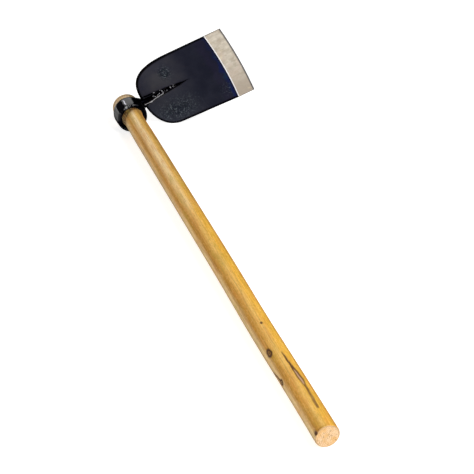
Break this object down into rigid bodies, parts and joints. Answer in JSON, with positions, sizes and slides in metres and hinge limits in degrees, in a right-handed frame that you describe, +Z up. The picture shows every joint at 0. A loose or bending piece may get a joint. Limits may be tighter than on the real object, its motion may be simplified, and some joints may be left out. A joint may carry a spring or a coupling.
{
  "type": "grub hoe",
  "caption": "Digging hoe with a broad ground blade on a forged round eye, slip-fitted on a straight flared wooden handle.",
  "frame": {"origin": "on the floor, below the middle of the hoe's bounding box as it lies at rest", "axes": "+Z up, +Y along the handle from its butt towards the head, +X towards the raised cutting edge"},
  "size_m": [0.264, 1.0928, 0.2097],
  "materials": {
    "handle_wood": "oiled, smooth sanded, golden brown",
    "forging_paint": "glossy black over hammered steel",
    "blade_steel": "satin blue-black, bare ground bevel at the cutting edge",
    "weld_paint": "glossy black over rippled weld"
  },
  "bodies": {
    "head": {"eye_collar": "forging_paint", "blade": "blade_steel", "weld_bead_upper": "weld_paint", "weld_bead_lower": "weld_paint", "weld_bead_root": "weld_paint"},
    "handle": {"handle": "handle_wood"}
  },
  "joints": [
    {"name": "handle_slide", "type": "slide", "parent": "head", "child": "handle", "axis": [0, 1, 0.0099], "range_m": [0, 1.09]}
  ]
}
